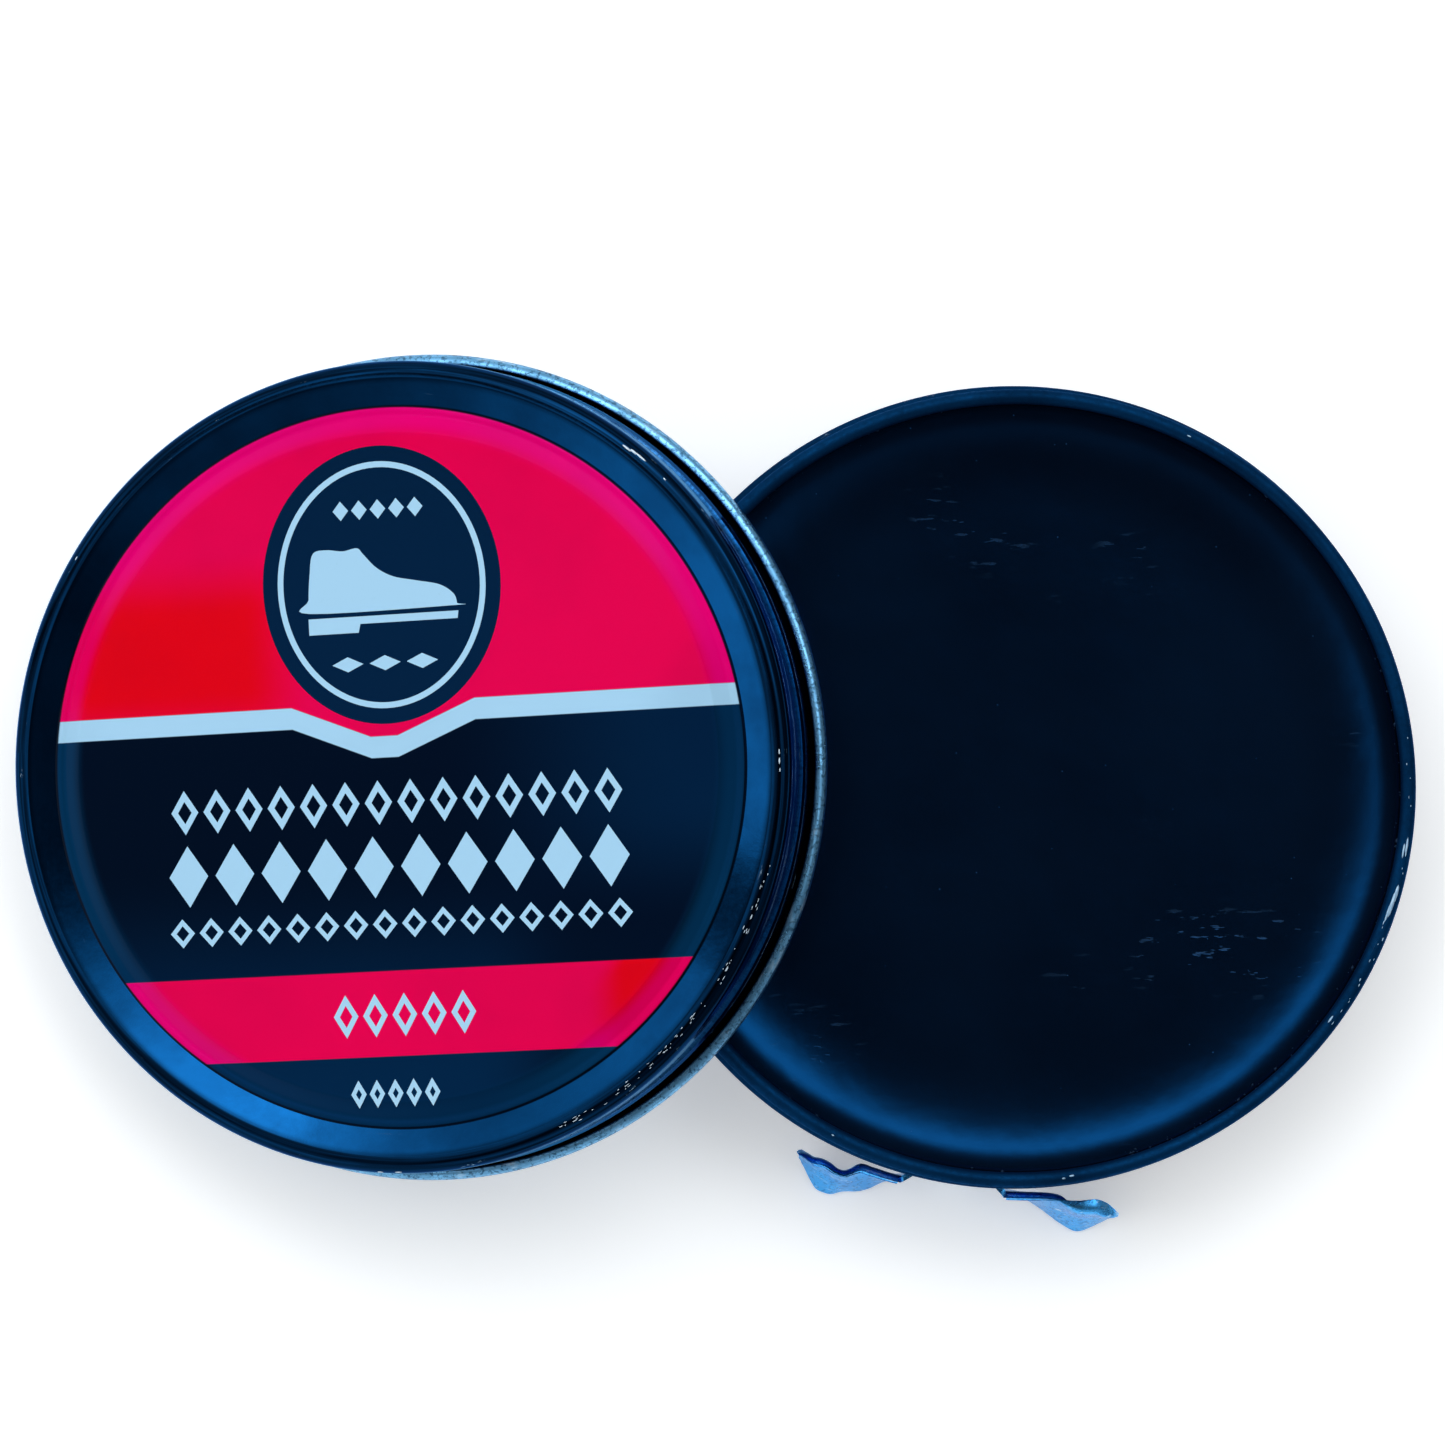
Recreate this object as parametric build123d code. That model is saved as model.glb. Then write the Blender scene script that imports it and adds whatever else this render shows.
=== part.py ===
from build123d import *
import os
from math import cos, radians, sin, sqrt

# Shoe polish tin, 75 mm size: an open base tin full of polish, with a butterfly key on its wall,
# and its slip lid, face up, leaning on the open rim. Millimetres, +Z up, origin at the middle of
# the base tin's underside, on the surface that it stands on.

# ---- driving dimensions -------------------------------------------------------------------------
SHEET = 0.25                # tinplate thickness
PAPER = 0.10                # sticker thickness

WALL_R = 36.3               # base tin: outer radius of the wall under the bead
NECK_R = 37.0               # outer radius of the neck that the lid slides over
BEAD_R = 37.7               # crest of the bead that stops the lid
BASE_H = 16.8               # height of the rolled rim
BEAD_Z = 8.65               # height of the bead's crest
BEAD_HALF = 0.9             # half the bead's height
RIM_ROLL_R = 0.7            # outer radius of the rim's inward roll
RIM_ROLL_TURN = 240         # degrees that the rim rolls through
FOOT_R = 34.8               # middle radius of the ring that the tin stands on
FOOT_HALF = 0.6             # half the width of that ring
PANEL_RISE = 0.75           # the bottom panel sits this far above the ring
PANEL_FILLET = 0.4          # where the panel turns down to the ring

POLISH_Z = 13.3             # level of the polish
POLISH_EDGE_Z = 14.0        # how high it climbs at the wall
POLISH_FLAT_R = 29.0        # it is level inside this radius
POLISH_GAP = 0.05           # clearance between polish and tinplate
POLISH_FOOT_Z = 0.4         # how far down it reaches, into the standing ring
POLISH_FOOT_BEVEL = 0.8     # its bottom corner
BASE_LABEL_R = 31.0

LID_FACE_R = 37.5           # lid: radius of the shoulder
LID_SKIRT_R = 37.35         # outer radius of the skirt
LID_H = 10.7                # overall height
LID_PANEL_R = 30.9          # raised middle panel
LID_PANEL_DROP = 0.35       # panel below the shoulder's crest
LID_CHANNEL_R = 32.5        # bottom of the channel round the panel
LID_CHANNEL_DROP = 0.98     # channel below the crest
LID_CREST_R = 35.9          # inner edge of the crest
LID_PANEL_FILLETS = [0.6, 0.8]
LID_CREST_FILLET = 0.5
LID_SHOULDER_FILLET = 1.2
LID_STEP_Z = 7.8            # middle of the step from the shoulder in to the skirt
LID_STEP_FILLET = 0.4
LID_RIB_Z = 4.1             # small rib round the skirt
LID_RIB_FILLET = 0.3
LID_CURL_R = 0.775          # outer radius of the curl at the mouth
CURL_TURN = 285             # degrees that the curl turns through
LABEL_R = 33.4

LEAN_ANGLE = 14.7           # the lid leans this far from level
LEAN_AZIMUTH = -2.0         # horizontal direction in which it rises
LEAN_DISTANCE = 54.9        # from the tin's axis to the middle of the lid's mouth
FLOOR_GAP = 0.02            # under the lid's lowest point

KEY_AZIMUTH = -98.3         # where the key sits on the wall
KEY_Z = 3.4                 # height of its pivot
KEY_SHEET = 0.55
KEY_HUB_Y = 36.4            # inner face of the hub, from the tin's axis
KEY_HUB_R = 3.0
KEY_WAIST = 1.8             # half height of the key beside its hub
KEY_WING = 2.8              # half height of a wing
KEY_SPAN = 15.3             # half the span of the wings
KEY_CRANK_X = (3.3, 4.2)    # start and end of the step that clears the bead
KEY_CRANK_SHIFT = 0.35      # the step's outer face starts and ends this much nearer the hub
KEY_KNEE = 2.0              # above this a wing's top edge turns in
WING_EDGE = ((7.5, 2.5), (10.5, KEY_WING), (12.5, 2.7), (14.6, 1.6))    # (x, half height)

RIVET_R = 1.2               # shank
RIVET_CLEARANCE = 0.05      # radial running clearance in the key
RIVET_HEAD_R = 2.2
RIVET_HEAD_T = 0.42
RIVET_HEAD_FILLET = 0.25
RIVET_TAIL_R = 2.0
RIVET_TAIL_T = 0.5
RIVET_POCKET_GAP = 0.1      # between the tail and the polish round it
HOLE_REACH = 1.0            # how far a cutter passes the sheet that it goes through

# Outer face of a wing, from the tin's axis: (x along the wing, bottom edge, knee, top edge)
KEY_STATIONS = (
    (4.2, 38.38, 38.38, 38.38),
    (6.0, 38.60, 38.40, 38.40),
    (8.0, 39.20, 38.42, 38.42),
    (10.0, 40.00, 38.50, 38.40),
    (11.6, 40.55, 38.60, 37.90),
    (13.2, 40.20, 38.55, 37.50),
    (14.4, 39.30, 38.40, 37.50),
    (15.6, 38.10, 38.15, 37.90),
)


# ---- helpers ------------------------------------------------------------------------------------
def strip(path, thickness, side):
    """A face of even thickness on one side of an open path."""
    return make_face(offset(path, amount=thickness, side=side, closed=True).edges())


def turned(face):
    """Revolve a profile drawn on the XZ plane round the Z axis."""
    return revolve(face, axis=Axis.Z, revolution_arc=360)


def profile(points, radii):
    """Straight runs through (r, z) points, rounded at the inner corners."""
    with BuildLine(Plane.XZ) as line:
        FilletPolyline(*points, radius=radii)
    return line.line


def joined(*pieces):
    """One wire from pieces drawn end to end."""
    return Wire([edge for piece in pieces for edge in piece.edges()])


def round_bar(radius, y_from, y_to):
    """A round bar along the key's pivot, between two distances from the tin's axis."""
    bar = Cylinder(radius, y_to - y_from, align=(Align.CENTER, Align.CENTER, Align.MIN))
    return Pos(0, y_from, KEY_Z) * Rot(-90, 0, 0) * bar


def on_wall(solid):
    """Move a solid from the key's own frame (x along the wall, y outwards) to its place."""
    return Rot(0, 0, KEY_AZIMUTH - 90) * solid


def leaning(solid):
    """Move a solid from the lid's own frame (z = 0 at its mouth) to its place."""
    curl_middle_r = LID_SKIRT_R + LID_CURL_R - SHEET
    mouth_z = (curl_middle_r * sin(radians(LEAN_ANGLE))
               + LID_CURL_R * (1 - cos(radians(LEAN_ANGLE))) + FLOOR_GAP)
    return Rot(0, 0, LEAN_AZIMUTH) * Pos(-LEAN_DISTANCE, 0, mouth_z) * Rot(0, -LEAN_ANGLE, 0) * solid


# ---- base tin -----------------------------------------------------------------------------------
def base_tin():
    """A drawn cup: standing ring, wall, bead, neck, and a rim rolled inwards."""
    foot_in = FOOT_R - FOOT_HALF
    floor_and_wall = profile(
        [(0, PANEL_RISE), (foot_in - PANEL_RISE, PANEL_RISE), (foot_in, 0), (WALL_R, 0),
         (WALL_R, BEAD_Z - BEAD_HALF)],
        [PANEL_FILLET, PANEL_FILLET, WALL_R - FOOT_R - FOOT_HALF])
    roll_z = BASE_H - RIM_ROLL_R
    roll_r = NECK_R - RIM_ROLL_R
    with BuildLine(Plane.XZ) as upper:
        ThreePointArc((WALL_R, BEAD_Z - BEAD_HALF), (BEAD_R, BEAD_Z), (NECK_R, BEAD_Z + BEAD_HALF))
        Line((NECK_R, BEAD_Z + BEAD_HALF), (NECK_R, roll_z))
        CenterArc((roll_r, roll_z), RIM_ROLL_R, 0, RIM_ROLL_TURN)
    cup = turned(strip(joined(floor_and_wall, upper.line), SHEET, Side.RIGHT))
    rivet_hole = round_bar(RIVET_R, WALL_R - HOLE_REACH, WALL_R + HOLE_REACH)
    return cup - on_wall(rivet_hole)


def polish():
    """The block of polish: level in the middle, climbing a little at the wall."""
    floor_z = PANEL_RISE + SHEET
    inner_r = WALL_R - SHEET - POLISH_GAP
    foot_in = FOOT_R - FOOT_HALF
    with BuildSketch(Plane.XZ) as section:
        with BuildLine():
            Polyline(
                (0, POLISH_Z), (0, floor_z), (foot_in - PANEL_FILLET, floor_z),
                (foot_in + SHEET, POLISH_FOOT_Z), (inner_r - POLISH_FOOT_BEVEL, POLISH_FOOT_Z),
                (inner_r, POLISH_FOOT_Z + POLISH_FOOT_BEVEL), (inner_r, POLISH_EDGE_Z))
            TangentArc((POLISH_FLAT_R, POLISH_Z), (inner_r, POLISH_EDGE_Z), tangent=(1, 0))
            Line((POLISH_FLAT_R, POLISH_Z), (0, POLISH_Z))
        make_face()
    pocket_from = WALL_R - SHEET - RIVET_TAIL_T - 2 * RIVET_POCKET_GAP
    rivet_pocket = round_bar(RIVET_TAIL_R + RIVET_POCKET_GAP, pocket_from, WALL_R)
    return turned(section.sketch) - on_wall(rivet_pocket)


def base_label():
    """A round sticker on the underside, inside the standing ring."""
    return Pos(0, 0, PANEL_RISE) * Cylinder(
        BASE_LABEL_R, PAPER, align=(Align.CENTER, Align.CENTER, Align.MAX))


# ---- butterfly key ------------------------------------------------------------------------------
def wing_section(z, column, thickness):
    """The sheet of one wing, cut level at height z."""
    outer = [(station[0], station[column]) for station in KEY_STATIONS]
    inner = [(x, y - thickness) for x, y in outer]
    with BuildSketch(Plane.XY.offset(z)) as section:
        with BuildLine():
            Spline(*outer)
            Line(outer[-1], inner[-1])
            Spline(*reversed(inner))
            Line(inner[0], outer[0])
        make_face()
    return section.sketch.face()


def wing():
    """One wing: flared towards its bottom edge, with the top edge turned in."""
    low = wing_section(KEY_Z - KEY_WING, 1, KEY_SHEET)
    knee = wing_section(KEY_Z + KEY_KNEE, 2, KEY_SHEET)
    top = wing_section(KEY_Z + KEY_WING, 3, KEY_SHEET)
    sheet = loft([low, knee], ruled=True) + loft([knee, top], ruled=True)
    upper_edge = [(KEY_STATIONS[0][0], KEY_WAIST), *WING_EDGE]
    lower_edge = [(x, -z) for x, z in upper_edge]
    outline = lower_edge + [(KEY_SPAN, 0)] + upper_edge[::-1]
    with BuildSketch(Plane.XZ) as front:
        with BuildLine():
            Spline(*outline)
            Line(outline[-1], outline[0])
        make_face()
    cutter = Pos(0, 0, KEY_Z) * extrude(front.sketch, amount=-BEAD_R * 2)
    return sheet & cutter


def key_middle():
    """The round hub and the two steps that carry the wings over the bead."""
    wing_y = KEY_STATIONS[0][1]
    x_in, x_out = KEY_CRANK_X
    hub_out = KEY_HUB_Y + KEY_SHEET
    with BuildSketch(Plane.XY.offset(KEY_Z - KEY_WAIST)) as section:
        with BuildLine():
            Polyline(
                (0, KEY_HUB_Y), (x_in, KEY_HUB_Y), (x_out, wing_y - KEY_SHEET), (x_out, wing_y),
                (x_out - KEY_CRANK_SHIFT, wing_y), (x_in - KEY_CRANK_SHIFT, hub_out), (0, hub_out),
                close=True)
        make_face()
    half = extrude(section.sketch, amount=2 * KEY_WAIST)
    return half + mirror(half, about=Plane.YZ) + round_bar(KEY_HUB_R, KEY_HUB_Y, hub_out)


def wing_key():
    one = wing()
    key = key_middle() + one + mirror(one, about=Plane.YZ)
    rivet_hole = round_bar(
        RIVET_R + RIVET_CLEARANCE, KEY_HUB_Y - HOLE_REACH, KEY_HUB_Y + KEY_SHEET + HOLE_REACH)
    return on_wall(key - rivet_hole)


def key_rivet():
    """Shank through the wall, a head outside the key and a flattened tail inside the tin."""
    wall_in = sqrt((WALL_R - SHEET) ** 2 - RIVET_TAIL_R ** 2)
    head_y = KEY_HUB_Y + KEY_SHEET + RIVET_CLEARANCE
    shank = round_bar(RIVET_R, wall_in - RIVET_TAIL_T, head_y)
    head = round_bar(RIVET_HEAD_R, head_y, head_y + RIVET_HEAD_T)
    head = fillet(head.edges().group_by(Axis.Y)[-1], RIVET_HEAD_FILLET)
    tail = round_bar(RIVET_TAIL_R, wall_in - RIVET_TAIL_T, wall_in)
    return on_wall(shank + head + tail)


# ---- lid ----------------------------------------------------------------------------------------
def face_points():
    """Outer surface of the lid's face, from its middle to the bottom of the channel."""
    return [(0, LID_H - LID_PANEL_DROP), (LID_PANEL_R, LID_H - LID_PANEL_DROP),
            (LID_CHANNEL_R, LID_H - LID_CHANNEL_DROP)]


def lid_shell():
    """A drawn lid: panel, channel, shoulder, skirt with a rib, and a mouth curled outwards."""
    curl_z = LID_CURL_R
    inner_curl_r = LID_CURL_R - SHEET
    rib = LID_FACE_R - LID_SKIRT_R
    outer = profile(
        face_points() + [
            (LID_CREST_R, LID_H), (LID_FACE_R, LID_H),
            (LID_FACE_R, LID_STEP_Z + 2 * rib), (LID_SKIRT_R, LID_STEP_Z - 2 * rib),
            (LID_SKIRT_R, LID_RIB_Z + 4 * rib), (LID_FACE_R, LID_RIB_Z),
            (LID_SKIRT_R, LID_RIB_Z - 4 * rib), (LID_SKIRT_R, curl_z)],
        LID_PANEL_FILLETS + [LID_CREST_FILLET, LID_SHOULDER_FILLET]
        + 2 * [LID_STEP_FILLET] + 3 * [LID_RIB_FILLET])
    with BuildLine(Plane.XZ) as curl:
        CenterArc((LID_SKIRT_R + inner_curl_r, curl_z), inner_curl_r, 180, CURL_TURN)
    drawn = turned(strip(outer, SHEET, Side.RIGHT))
    mouth = turned(strip(curl.line, SHEET, Side.LEFT))
    return leaning(drawn + mouth)


def lid_label():
    """The sticker, pressed over the panel's edge into the channel."""
    slope = LID_CHANNEL_DROP / (LID_CREST_R - LID_CHANNEL_R)
    edge_z = LID_H - LID_CHANNEL_DROP + slope * (LABEL_R - LID_CHANNEL_R)
    path = profile(face_points() + [(LABEL_R, edge_z)], LID_PANEL_FILLETS)
    return leaning(turned(strip(path, PAPER, Side.RIGHT)))


PARTS = {
    "base_tin": base_tin,
    "polish": polish,
    "base_label": base_label,
    "wing_key": wing_key,
    "key_rivet": key_rivet,
    "lid_shell": lid_shell,
    "lid_label": lid_label,
}

os.makedirs("parts", exist_ok=True)
for name, make in PARTS.items():
    export_step(make(), f"parts/{name}.step")
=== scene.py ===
"""A shoe polish tin lying open: the base full of black polish, its lid leaning on the rim.

Shapes are written in millimetres and become metres when a mesh is made. The base is drawn round the
world's Z axis; the lid and its label are drawn in the lid's own frame, z = 0 at its mouth, and the key
in its own frame, x along the wall and y outwards from the tin's axis.
"""
from math import ceil, cos, hypot, pi, radians, sin, sqrt, tan

import bpy
import numpy as np
from mathutils import Matrix, Vector, noise


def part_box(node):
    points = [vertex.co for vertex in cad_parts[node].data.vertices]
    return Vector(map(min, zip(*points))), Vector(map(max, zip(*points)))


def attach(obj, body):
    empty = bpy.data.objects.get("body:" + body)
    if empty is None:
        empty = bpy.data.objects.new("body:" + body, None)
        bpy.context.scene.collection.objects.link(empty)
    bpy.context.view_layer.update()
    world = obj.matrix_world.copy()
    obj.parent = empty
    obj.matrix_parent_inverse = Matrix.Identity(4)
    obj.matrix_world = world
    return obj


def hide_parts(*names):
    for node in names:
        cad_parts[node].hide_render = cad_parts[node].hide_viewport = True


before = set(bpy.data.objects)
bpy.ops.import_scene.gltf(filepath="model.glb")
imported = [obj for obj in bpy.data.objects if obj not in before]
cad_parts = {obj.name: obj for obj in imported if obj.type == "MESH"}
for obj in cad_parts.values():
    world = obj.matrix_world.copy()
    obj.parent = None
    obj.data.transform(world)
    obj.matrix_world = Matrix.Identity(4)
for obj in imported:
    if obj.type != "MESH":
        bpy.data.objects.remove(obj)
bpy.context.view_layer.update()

MM = 0.001
TURN = 2 * pi

# ---- driving dimensions, mm ---------------------------------------------------------------------
SHEET = 0.25
PAPER = 0.10
INK = 0.02

WALL_R = 36.3
NECK_R = 37.0
BEAD_R = 37.7
BEAD_Z = 8.65
BEAD_HALF = 0.9
RIM_ROLL_R = 0.7
RIM_ROLL_TURN = 240
FOOT_R = 34.8
FOOT_HALF = 0.6
FOOT_FILLET = 0.88          # outer corner of the bottom
PANEL_RISE = 0.75
PANEL_FILLET = 0.4
POLISH_Z = 13.3
POLISH_GAP = 0.05
POLISH_FLAT_R = 25.0
POLISH_STEEP_R = 33.6
POLISH_STEP_R = 35.2
POLISH_SLOPE = 0.27
POLISH_FOOT_Z = 0.6
POLISH_FOOT_BEVEL = (0.8, 0.6)
POLISH_PANEL_R = 33.7

LID_FACE_R = 37.5
LID_SKIRT_R = 37.35
LID_H = 10.7
LID_PANEL_R = 30.9
LID_PANEL_DROP = 0.35
LID_CHANNEL_R = 32.5
LID_CHANNEL_DROP = 0.98
LID_CREST_R = 35.9
LID_PANEL_FILLETS = (0.6, 0.8)
LID_CREST_FILLET = 0.5
LID_SHOULDER_FILLET = 1.2
LID_STEP_Z = 7.8
LID_STEP_FILLET = 0.4
LID_RIB_Z = 4.1
LID_RIB_FILLET = 0.3
LID_CURL_R = 0.775
CURL_TURN = 285
LABEL_R = 33.4
LABEL_TURN = 5.1            # degrees that the label is turned from the direction of the lean

LEAN_ANGLE = 14.7
LEAN_AZIMUTH = -2.0
LEAN_DISTANCE = 54.9
FLOOR_GAP = 0.02

KEY_AZIMUTH = -98.3          # degrees, the key's place round the wall
KEY_Z = 3.4
KEY_SHEET = 0.55
KEY_HUB_Y = 36.4
KEY_HUB_R = 3.0
KEY_WAIST = 1.8
KEY_CRANK_X = 3.0            # where the sheet starts to step out past the bead
KEY_EDGE = 0.12              # rounding of the sheet's cut edges

KEY_ROWS = 22                # steps up and along the key's face
KEY_COLUMNS = 150

SEGMENTS = 360               # steps round every turned piece
FILLET_STEP = 8              # degrees between points, at most, on fillets and on rolled edges
ROLL_STEP = 12
ON_AXIS = 1e-6               # radius below which a ring is a single point
LONGEST_RUN = 1.5            # longest straight run in a turned piece's outline
UNEVEN = 0.03                # how far the drawn sheet strays from a true round

base_low, base_high = (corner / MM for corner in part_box("base_tin"))
BASE_H = base_high.z - base_low.z


# ---- outlines -----------------------------------------------------------------------------------
def arc(centre, radius, start, turn):
    """Points along a rolled edge, angles in degrees."""
    count = ceil(turn / ROLL_STEP)
    angles = [radians(start + turn * i / count) for i in range(count + 1)]
    return [(centre[0] + radius * cos(a), centre[1] + radius * sin(a)) for a in angles]


def rounded(corners):
    """An open outline through (x, y, radius) corners, each one turned into an arc."""
    points = [corners[0][:2]]
    for before, corner, after in zip(corners, corners[1:], corners[2:]):
        here = Vector(corner[:2])
        back = (Vector(before[:2]) - here).normalized()
        ahead = (Vector(after[:2]) - here).normalized()
        half = back.angle(ahead) / 2
        reach = corner[2] / tan(half)
        centre = here + (back + ahead).normalized() * corner[2] / sin(half)
        first = here + back * reach - centre
        last = here + ahead * reach - centre
        turn = first.angle_signed(last)
        count = max(2, ceil(abs(turn) / radians(FILLET_STEP)))
        for i in range(count + 1):
            points.append(tuple(centre + Matrix.Rotation(-turn * i / count, 2) @ first))
    points.append(corners[-1][:2])
    return points


def divided(points, longest):
    """The same outline with its long runs cut into shorter ones."""
    result = [points[0]]
    for start, end in zip(points, points[1:]):
        count = max(1, ceil(hypot(end[0] - start[0], end[1] - start[1]) / longest))
        for i in range(1, count + 1):
            share = i / count
            result.append((start[0] + (end[0] - start[0]) * share, start[1] + (end[1] - start[1]) * share))
    return result


def beside(points, distance):
    """The outline moved sideways, to the left of its direction."""
    path = np.array(points)
    run = np.diff(path, axis=0)
    run /= np.linalg.norm(run, axis=1)[:, None]
    left = np.column_stack([-run[:, 1], run[:, 0]])
    before = np.vstack([left[:1], left])
    after = np.vstack([left, left[-1:]])
    middle = before + after
    middle /= (middle * before).sum(axis=1)[:, None]
    return [tuple(p) for p in path + middle * distance]


# ---- meshes -------------------------------------------------------------------------------------
def mesh_object(name, points, faces, materials, face_materials=None):
    """A smooth-shaded object from points in millimetres."""
    mesh = bpy.data.meshes.new(name)
    mesh.from_pydata([Vector(p) * MM for p in points], [], faces)
    for material in materials:
        mesh.materials.append(material)
    if face_materials is not None:
        mesh.polygons.foreach_set("material_index", face_materials)
    mesh.shade_smooth()
    mesh.validate()
    piece = bpy.data.objects.new(name, mesh)
    bpy.context.scene.collection.objects.link(piece)
    return piece


def lathe(name, outline, materials, bands=None, wobble=None):
    """Turns a closed (r, z) outline round the Z axis. bands gives each run's material."""
    points = []
    rings = []
    for r, z in outline:
        if r < ON_AXIS:
            rings.append([len(points)] * SEGMENTS)
            points.append((0, 0, z))
            continue
        rings.append(list(range(len(points), len(points) + SEGMENTS)))
        for i in range(SEGMENTS):
            angle = TURN * i / SEGMENTS
            dr, dz = wobble(r, z, angle) if wobble else (0, 0)
            points.append(((r + dr) * cos(angle), (r + dr) * sin(angle), z + dz))
    faces = []
    face_materials = []
    for run, (inner, outer) in enumerate(zip(rings, rings[1:] + rings[:1])):
        for i in range(SEGMENTS):
            j = (i + 1) % SEGMENTS
            corners = [inner[i], outer[i], outer[j], inner[j]]
            face = [c for k, c in enumerate(corners) if c not in corners[:k]]
            if len(face) > 2:
                faces.append(face)
                face_materials.append(bands[run] if bands else 0)
    piece = mesh_object(name, points, faces, materials, face_materials)
    keep_flats(piece)
    return piece


def keep_flats(piece):
    """Weights the shading by the size of the faces: flat parts look flat, and fillets turn the light."""
    modifier = piece.modifiers.new("normals", "WEIGHTED_NORMAL")
    modifier.keep_sharp = True


def waves(seed):
    """A small unevenness that repeats smoothly round a turned part. The edge it stands on stays true."""
    turns = 1.6
    still_z, free_z = 1.5, 3.5
    other_seed = Vector((0, 0, 9))

    def wobble(r, z, angle):
        place = Vector((cos(angle) * turns, sin(angle) * turns, z * 0.15 + seed))
        free = UNEVEN * min(1.0, max(0.0, (z - still_z) / (free_z - still_z)))
        return noise.noise(place) * free, noise.noise(place + other_seed) * free / 2
    return wobble


# ---- frames -------------------------------------------------------------------------------------
def lid_matrix():
    """The lid's own frame, in metres."""
    lean = radians(LEAN_ANGLE)
    curl_middle_r = LID_SKIRT_R + LID_CURL_R - SHEET
    mouth_z = curl_middle_r * sin(lean) + LID_CURL_R * (1 - cos(lean)) + FLOOR_GAP
    return (Matrix.Rotation(radians(LEAN_AZIMUTH), 4, "Z")
            @ Matrix.Translation(Vector((-LEAN_DISTANCE, 0, mouth_z)) * MM)
            @ Matrix.Rotation(-lean, 4, "Y"))


LID = lid_matrix()
LABEL = LID @ Matrix.Rotation(radians(LABEL_TURN), 4, "Z")


# ---- materials ----------------------------------------------------------------------------------
class Field:
    """A value that varies over a surface. Sums, products and thresholds of it become math nodes."""

    def __init__(self, tree, socket):
        self.tree = tree
        self.socket = socket

    def math(self, operation, *others):
        node = self.tree.nodes.new("ShaderNodeMath")
        node.operation = operation
        for socket, value in zip(node.inputs, (self, *others)):
            put(self.tree, socket, value)
        return Field(self.tree, node.outputs[0])

    def __add__(self, other):
        return self.math("ADD", other)

    def __sub__(self, other):
        return self.math("SUBTRACT", other)

    def __mul__(self, other):
        return self.math("MULTIPLY", other)

    def __truediv__(self, other):
        return self.math("DIVIDE", other)

    __radd__ = __add__

    def __rsub__(self, other):
        return self.math("MULTIPLY", -1) + other

    def size(self):
        return self.math("ABSOLUTE")

    def larger(self, other):
        return self.math("MAXIMUM", other)

    def smaller(self, other):
        return self.math("MINIMUM", other)

    def rise(self, start, end, low=0.0, high=1.0):
        """Goes smoothly from low to high as the value goes from start to end."""
        node = self.tree.nodes.new("ShaderNodeMapRange")
        node.interpolation_type = "SMOOTHSTEP"
        for socket, value in zip(node.inputs, (self, start, end, low, high)):
            put(self.tree, socket, value)
        return Field(self.tree, node.outputs[0])

    def band(self, low, high, soft):
        """1 between low and high, 0 outside."""
        return self.rise(low - soft, low + soft) * self.rise(high - soft, high + soft, 1, 0)


def put(tree, socket, value):
    """Links a field to a socket, or sets a plain value on it."""
    if isinstance(value, Field):
        tree.links.new(value.socket, socket)
    elif isinstance(value, tuple) and len(value) == 3 and socket.type == "RGBA":
        socket.default_value = (*value, 1)
    else:
        socket.default_value = value


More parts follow.
